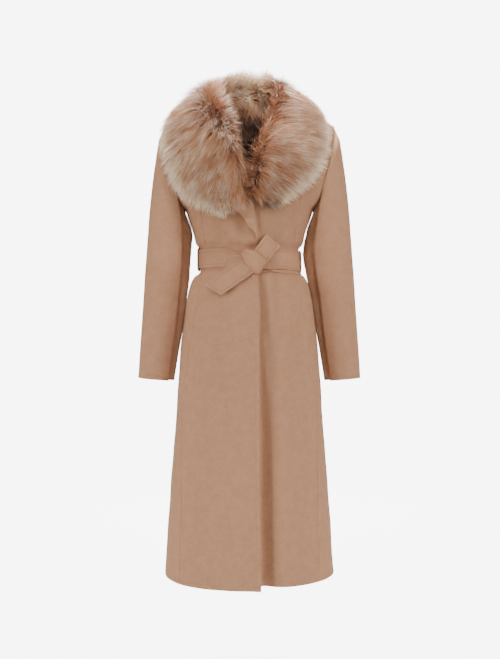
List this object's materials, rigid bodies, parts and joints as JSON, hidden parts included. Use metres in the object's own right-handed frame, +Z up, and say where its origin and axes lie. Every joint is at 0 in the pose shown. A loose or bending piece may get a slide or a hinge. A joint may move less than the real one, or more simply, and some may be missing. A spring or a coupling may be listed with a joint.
{
  "type": "belted long coat with a wide fur collar",
  "caption": "Long wool coat with a wide fur shawl collar, a knotted cloth belt in side loops, long sleeves and a flared skirt, in its hollow worn form.",
  "frame": {"origin": "between the shoulders, level with the sides of the neck, in the middle of the coat's depth, where the wearer's shoulders hold it", "axes": "+Z up along the body, -Y out of the front, +X towards the wearer's left"},
  "size_m": [0.541, 0.3632, 1.2264],
  "materials": {
    "wool": "soft matt wool",
    "fur": "long soft fur"
  },
  "bodies": {
    "root": {"front_right": "wool", "front_left": "wool", "side_front_right": "wool", "side_front_left": "wool", "back_right": "wool", "back_left": "wool", "sleeve_top_right": "wool", "sleeve_top_left": "wool", "sleeve_under_right": "wool", "sleeve_under_left": "wool", "collar_right": "fur", "collar_left": "fur", "lapel_right": "wool", "belt_band": "wool", "belt_knot": "wool", "belt_tail": "wool", "belt_end": "wool", "belt_fold": "wool", "belt_loop_right": "wool", "belt_loop_left": "wool"}
  },
  "joints": []
}
